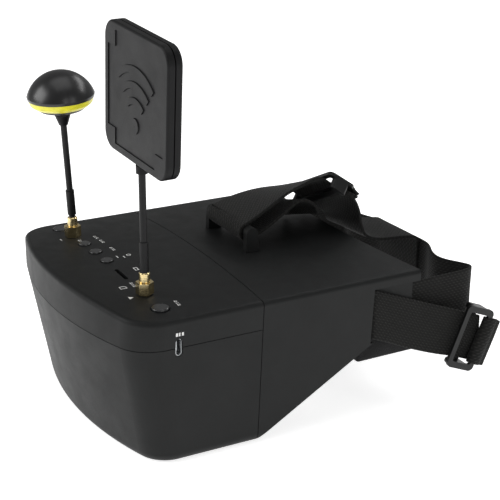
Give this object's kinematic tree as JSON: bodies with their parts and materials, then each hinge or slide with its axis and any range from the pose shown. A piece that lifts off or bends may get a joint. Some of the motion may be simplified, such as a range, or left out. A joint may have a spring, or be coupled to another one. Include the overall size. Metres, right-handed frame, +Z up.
{
  "type": "fpv goggles",
  "caption": "Box-style video goggles with a removable face hood, head straps with sliders, a panel antenna and a mushroom antenna on screw sockets.",
  "frame": {"origin": "middle of the flat base of the display unit, where it stands", "axes": "+X to the right side of the goggles, +Y towards the face of the wearer, +Z up"},
  "size_m": [0.172, 0.2254, 0.2181],
  "materials": {
    "body_plastic": "fine spark-eroded black ABS",
    "button_plastic": "satin black moulded",
    "antenna_plastic": "satin black ABS",
    "dome_plastic": "glossy black",
    "ring_plastic": "glossy yellow",
    "sleeve_plastic": "black heat-shrink sleeve",
    "coax": "semi-rigid stem under black sleeve",
    "gold": "gold-plated brass",
    "strap_web": "woven elastic webbing",
    "foam": "cloth-faced foam",
    "slider_plastic": "moulded black nylon",
    "board": "fibreglass board with solder mask",
    "component": "moulded component bodies",
    "shield": "tinned steel can",
    "lens": "clear acrylic Fresnel",
    "lcd": "dark liquid-crystal panel",
    "cell": "shrink-wrapped cell",
    "steel": "zinc-plated steel",
    "element": "copper"
  },
  "bodies": {
    "display_unit": {"lower_shell": "body_plastic", "top_shell": "body_plastic", "display_bezel": "body_plastic", "lcd_panel": "lcd", "main_board": "board", "board_screws": "steel", "receiver_modules": "shield", "battery_cells": "cell", "control_board": "board", "tact_switches": "component", "usb_socket": "shield", "card_socket": "shield", "shell_screws": "steel", "antenna_socket_left": "gold", "antenna_socket_right": "gold"},
    "dvr_button": {"button_dvr": "button_plastic"},
    "down_button": {"button_down": "button_plastic"},
    "up_button": {"button_up": "button_plastic"},
    "menu_button": {"button_menu": "button_plastic"},
    "search_button": {"button_search": "button_plastic"},
    "hood": {"hood_shell": "body_plastic", "lens_frame": "body_plastic", "fresnel_lens": "lens", "lens_screws": "steel", "face_foam": "foam", "side_strap_left": "strap_web", "side_strap_right": "strap_web", "head_band": "strap_web", "top_strap": "strap_web"},
    "left_slider": {"slider_left": "slider_plastic", "strap_end_left": "strap_web"},
    "right_slider": {"slider_right": "slider_plastic", "strap_end_right": "strap_web"},
    "top_slider": {"slider_top": "slider_plastic", "strap_end_top": "strap_web"},
    "panel_antenna": {"panel_plug": "gold", "panel_stem": "coax", "panel_collar": "sleeve_plastic", "panel_back_shell": "antenna_plastic", "panel_front_shell": "antenna_plastic", "patch_board": "board"},
    "mushroom_antenna": {"mushroom_plug": "gold", "mushroom_stem": "coax", "mushroom_sleeve": "sleeve_plastic", "mushroom_collar": "antenna_plastic", "mushroom_cap": "antenna_plastic", "mushroom_ring": "ring_plastic", "mushroom_dome": "dome_plastic", "mushroom_element": "element"},
    "panel_coupling_nut": {"panel_nut": "gold"},
    "mushroom_coupling_nut": {"mushroom_nut": "gold"}
  },
  "joints": [
    {"name": "dvr_press", "type": "slide", "parent": "display_unit", "child": "dvr_button", "axis": [0, 0, -1], "range_m": [0, 0.0005], "stiffness_N_per_m": 300},
    {"name": "down_press", "type": "slide", "parent": "display_unit", "child": "down_button", "axis": [0, 0, -1], "range_m": [0, 0.0005], "stiffness_N_per_m": 300},
    {"name": "up_press", "type": "slide", "parent": "display_unit", "child": "up_button", "axis": [0, 0, -1], "range_m": [0, 0.0005], "stiffness_N_per_m": 300},
    {"name": "menu_press", "type": "slide", "parent": "display_unit", "child": "menu_button", "axis": [0, 0, -1], "range_m": [0, 0.0005], "stiffness_N_per_m": 300},
    {"name": "search_press", "type": "slide", "parent": "display_unit", "child": "search_button", "axis": [0, 0, -1], "range_m": [0, 0.0005], "stiffness_N_per_m": 300},
    {"name": "hood_pull", "type": "slide", "parent": "display_unit", "child": "hood", "axis": [0, 1, 0], "range_m": [0, 0.02]},
    {"name": "panel_turn", "type": "hinge", "parent": "display_unit", "child": "panel_antenna", "pos_m": [0.048, -0.015, 0.09], "axis": [0, 0, 1], "range_deg": [-150, 180]},
    {"name": "mushroom_turn", "type": "hinge", "parent": "display_unit", "child": "mushroom_antenna", "pos_m": [-0.048, -0.015, 0.09], "axis": [0, 0, 1], "range_deg": [-180, 180]},
    {"name": "panel_nut_spin", "type": "hinge", "parent": "display_unit", "child": "panel_coupling_nut", "pos_m": [0.048, -0.015, 0.087], "axis": [0, 0, 1], "continuous": true},
    {"name": "mushroom_nut_spin", "type": "hinge", "parent": "display_unit", "child": "mushroom_coupling_nut", "pos_m": [-0.048, -0.015, 0.087], "axis": [0, 0, 1], "continuous": true},
    {"name": "left_slider_slide", "type": "slide", "parent": "hood", "child": "left_slider", "axis": [0.0657, -0.9293, 0.3635], "range_m": [0, 0.02]},
    {"name": "right_slider_slide", "type": "slide", "parent": "hood", "child": "right_slider", "axis": [-0.0657, -0.9293, 0.3635], "range_m": [0, 0.02]},
    {"name": "top_slider_slide", "type": "slide", "parent": "hood", "child": "top_slider", "axis": [0.2615, 0.7855, -0.5609], "range_m": [0, 0.002]}
  ]
}
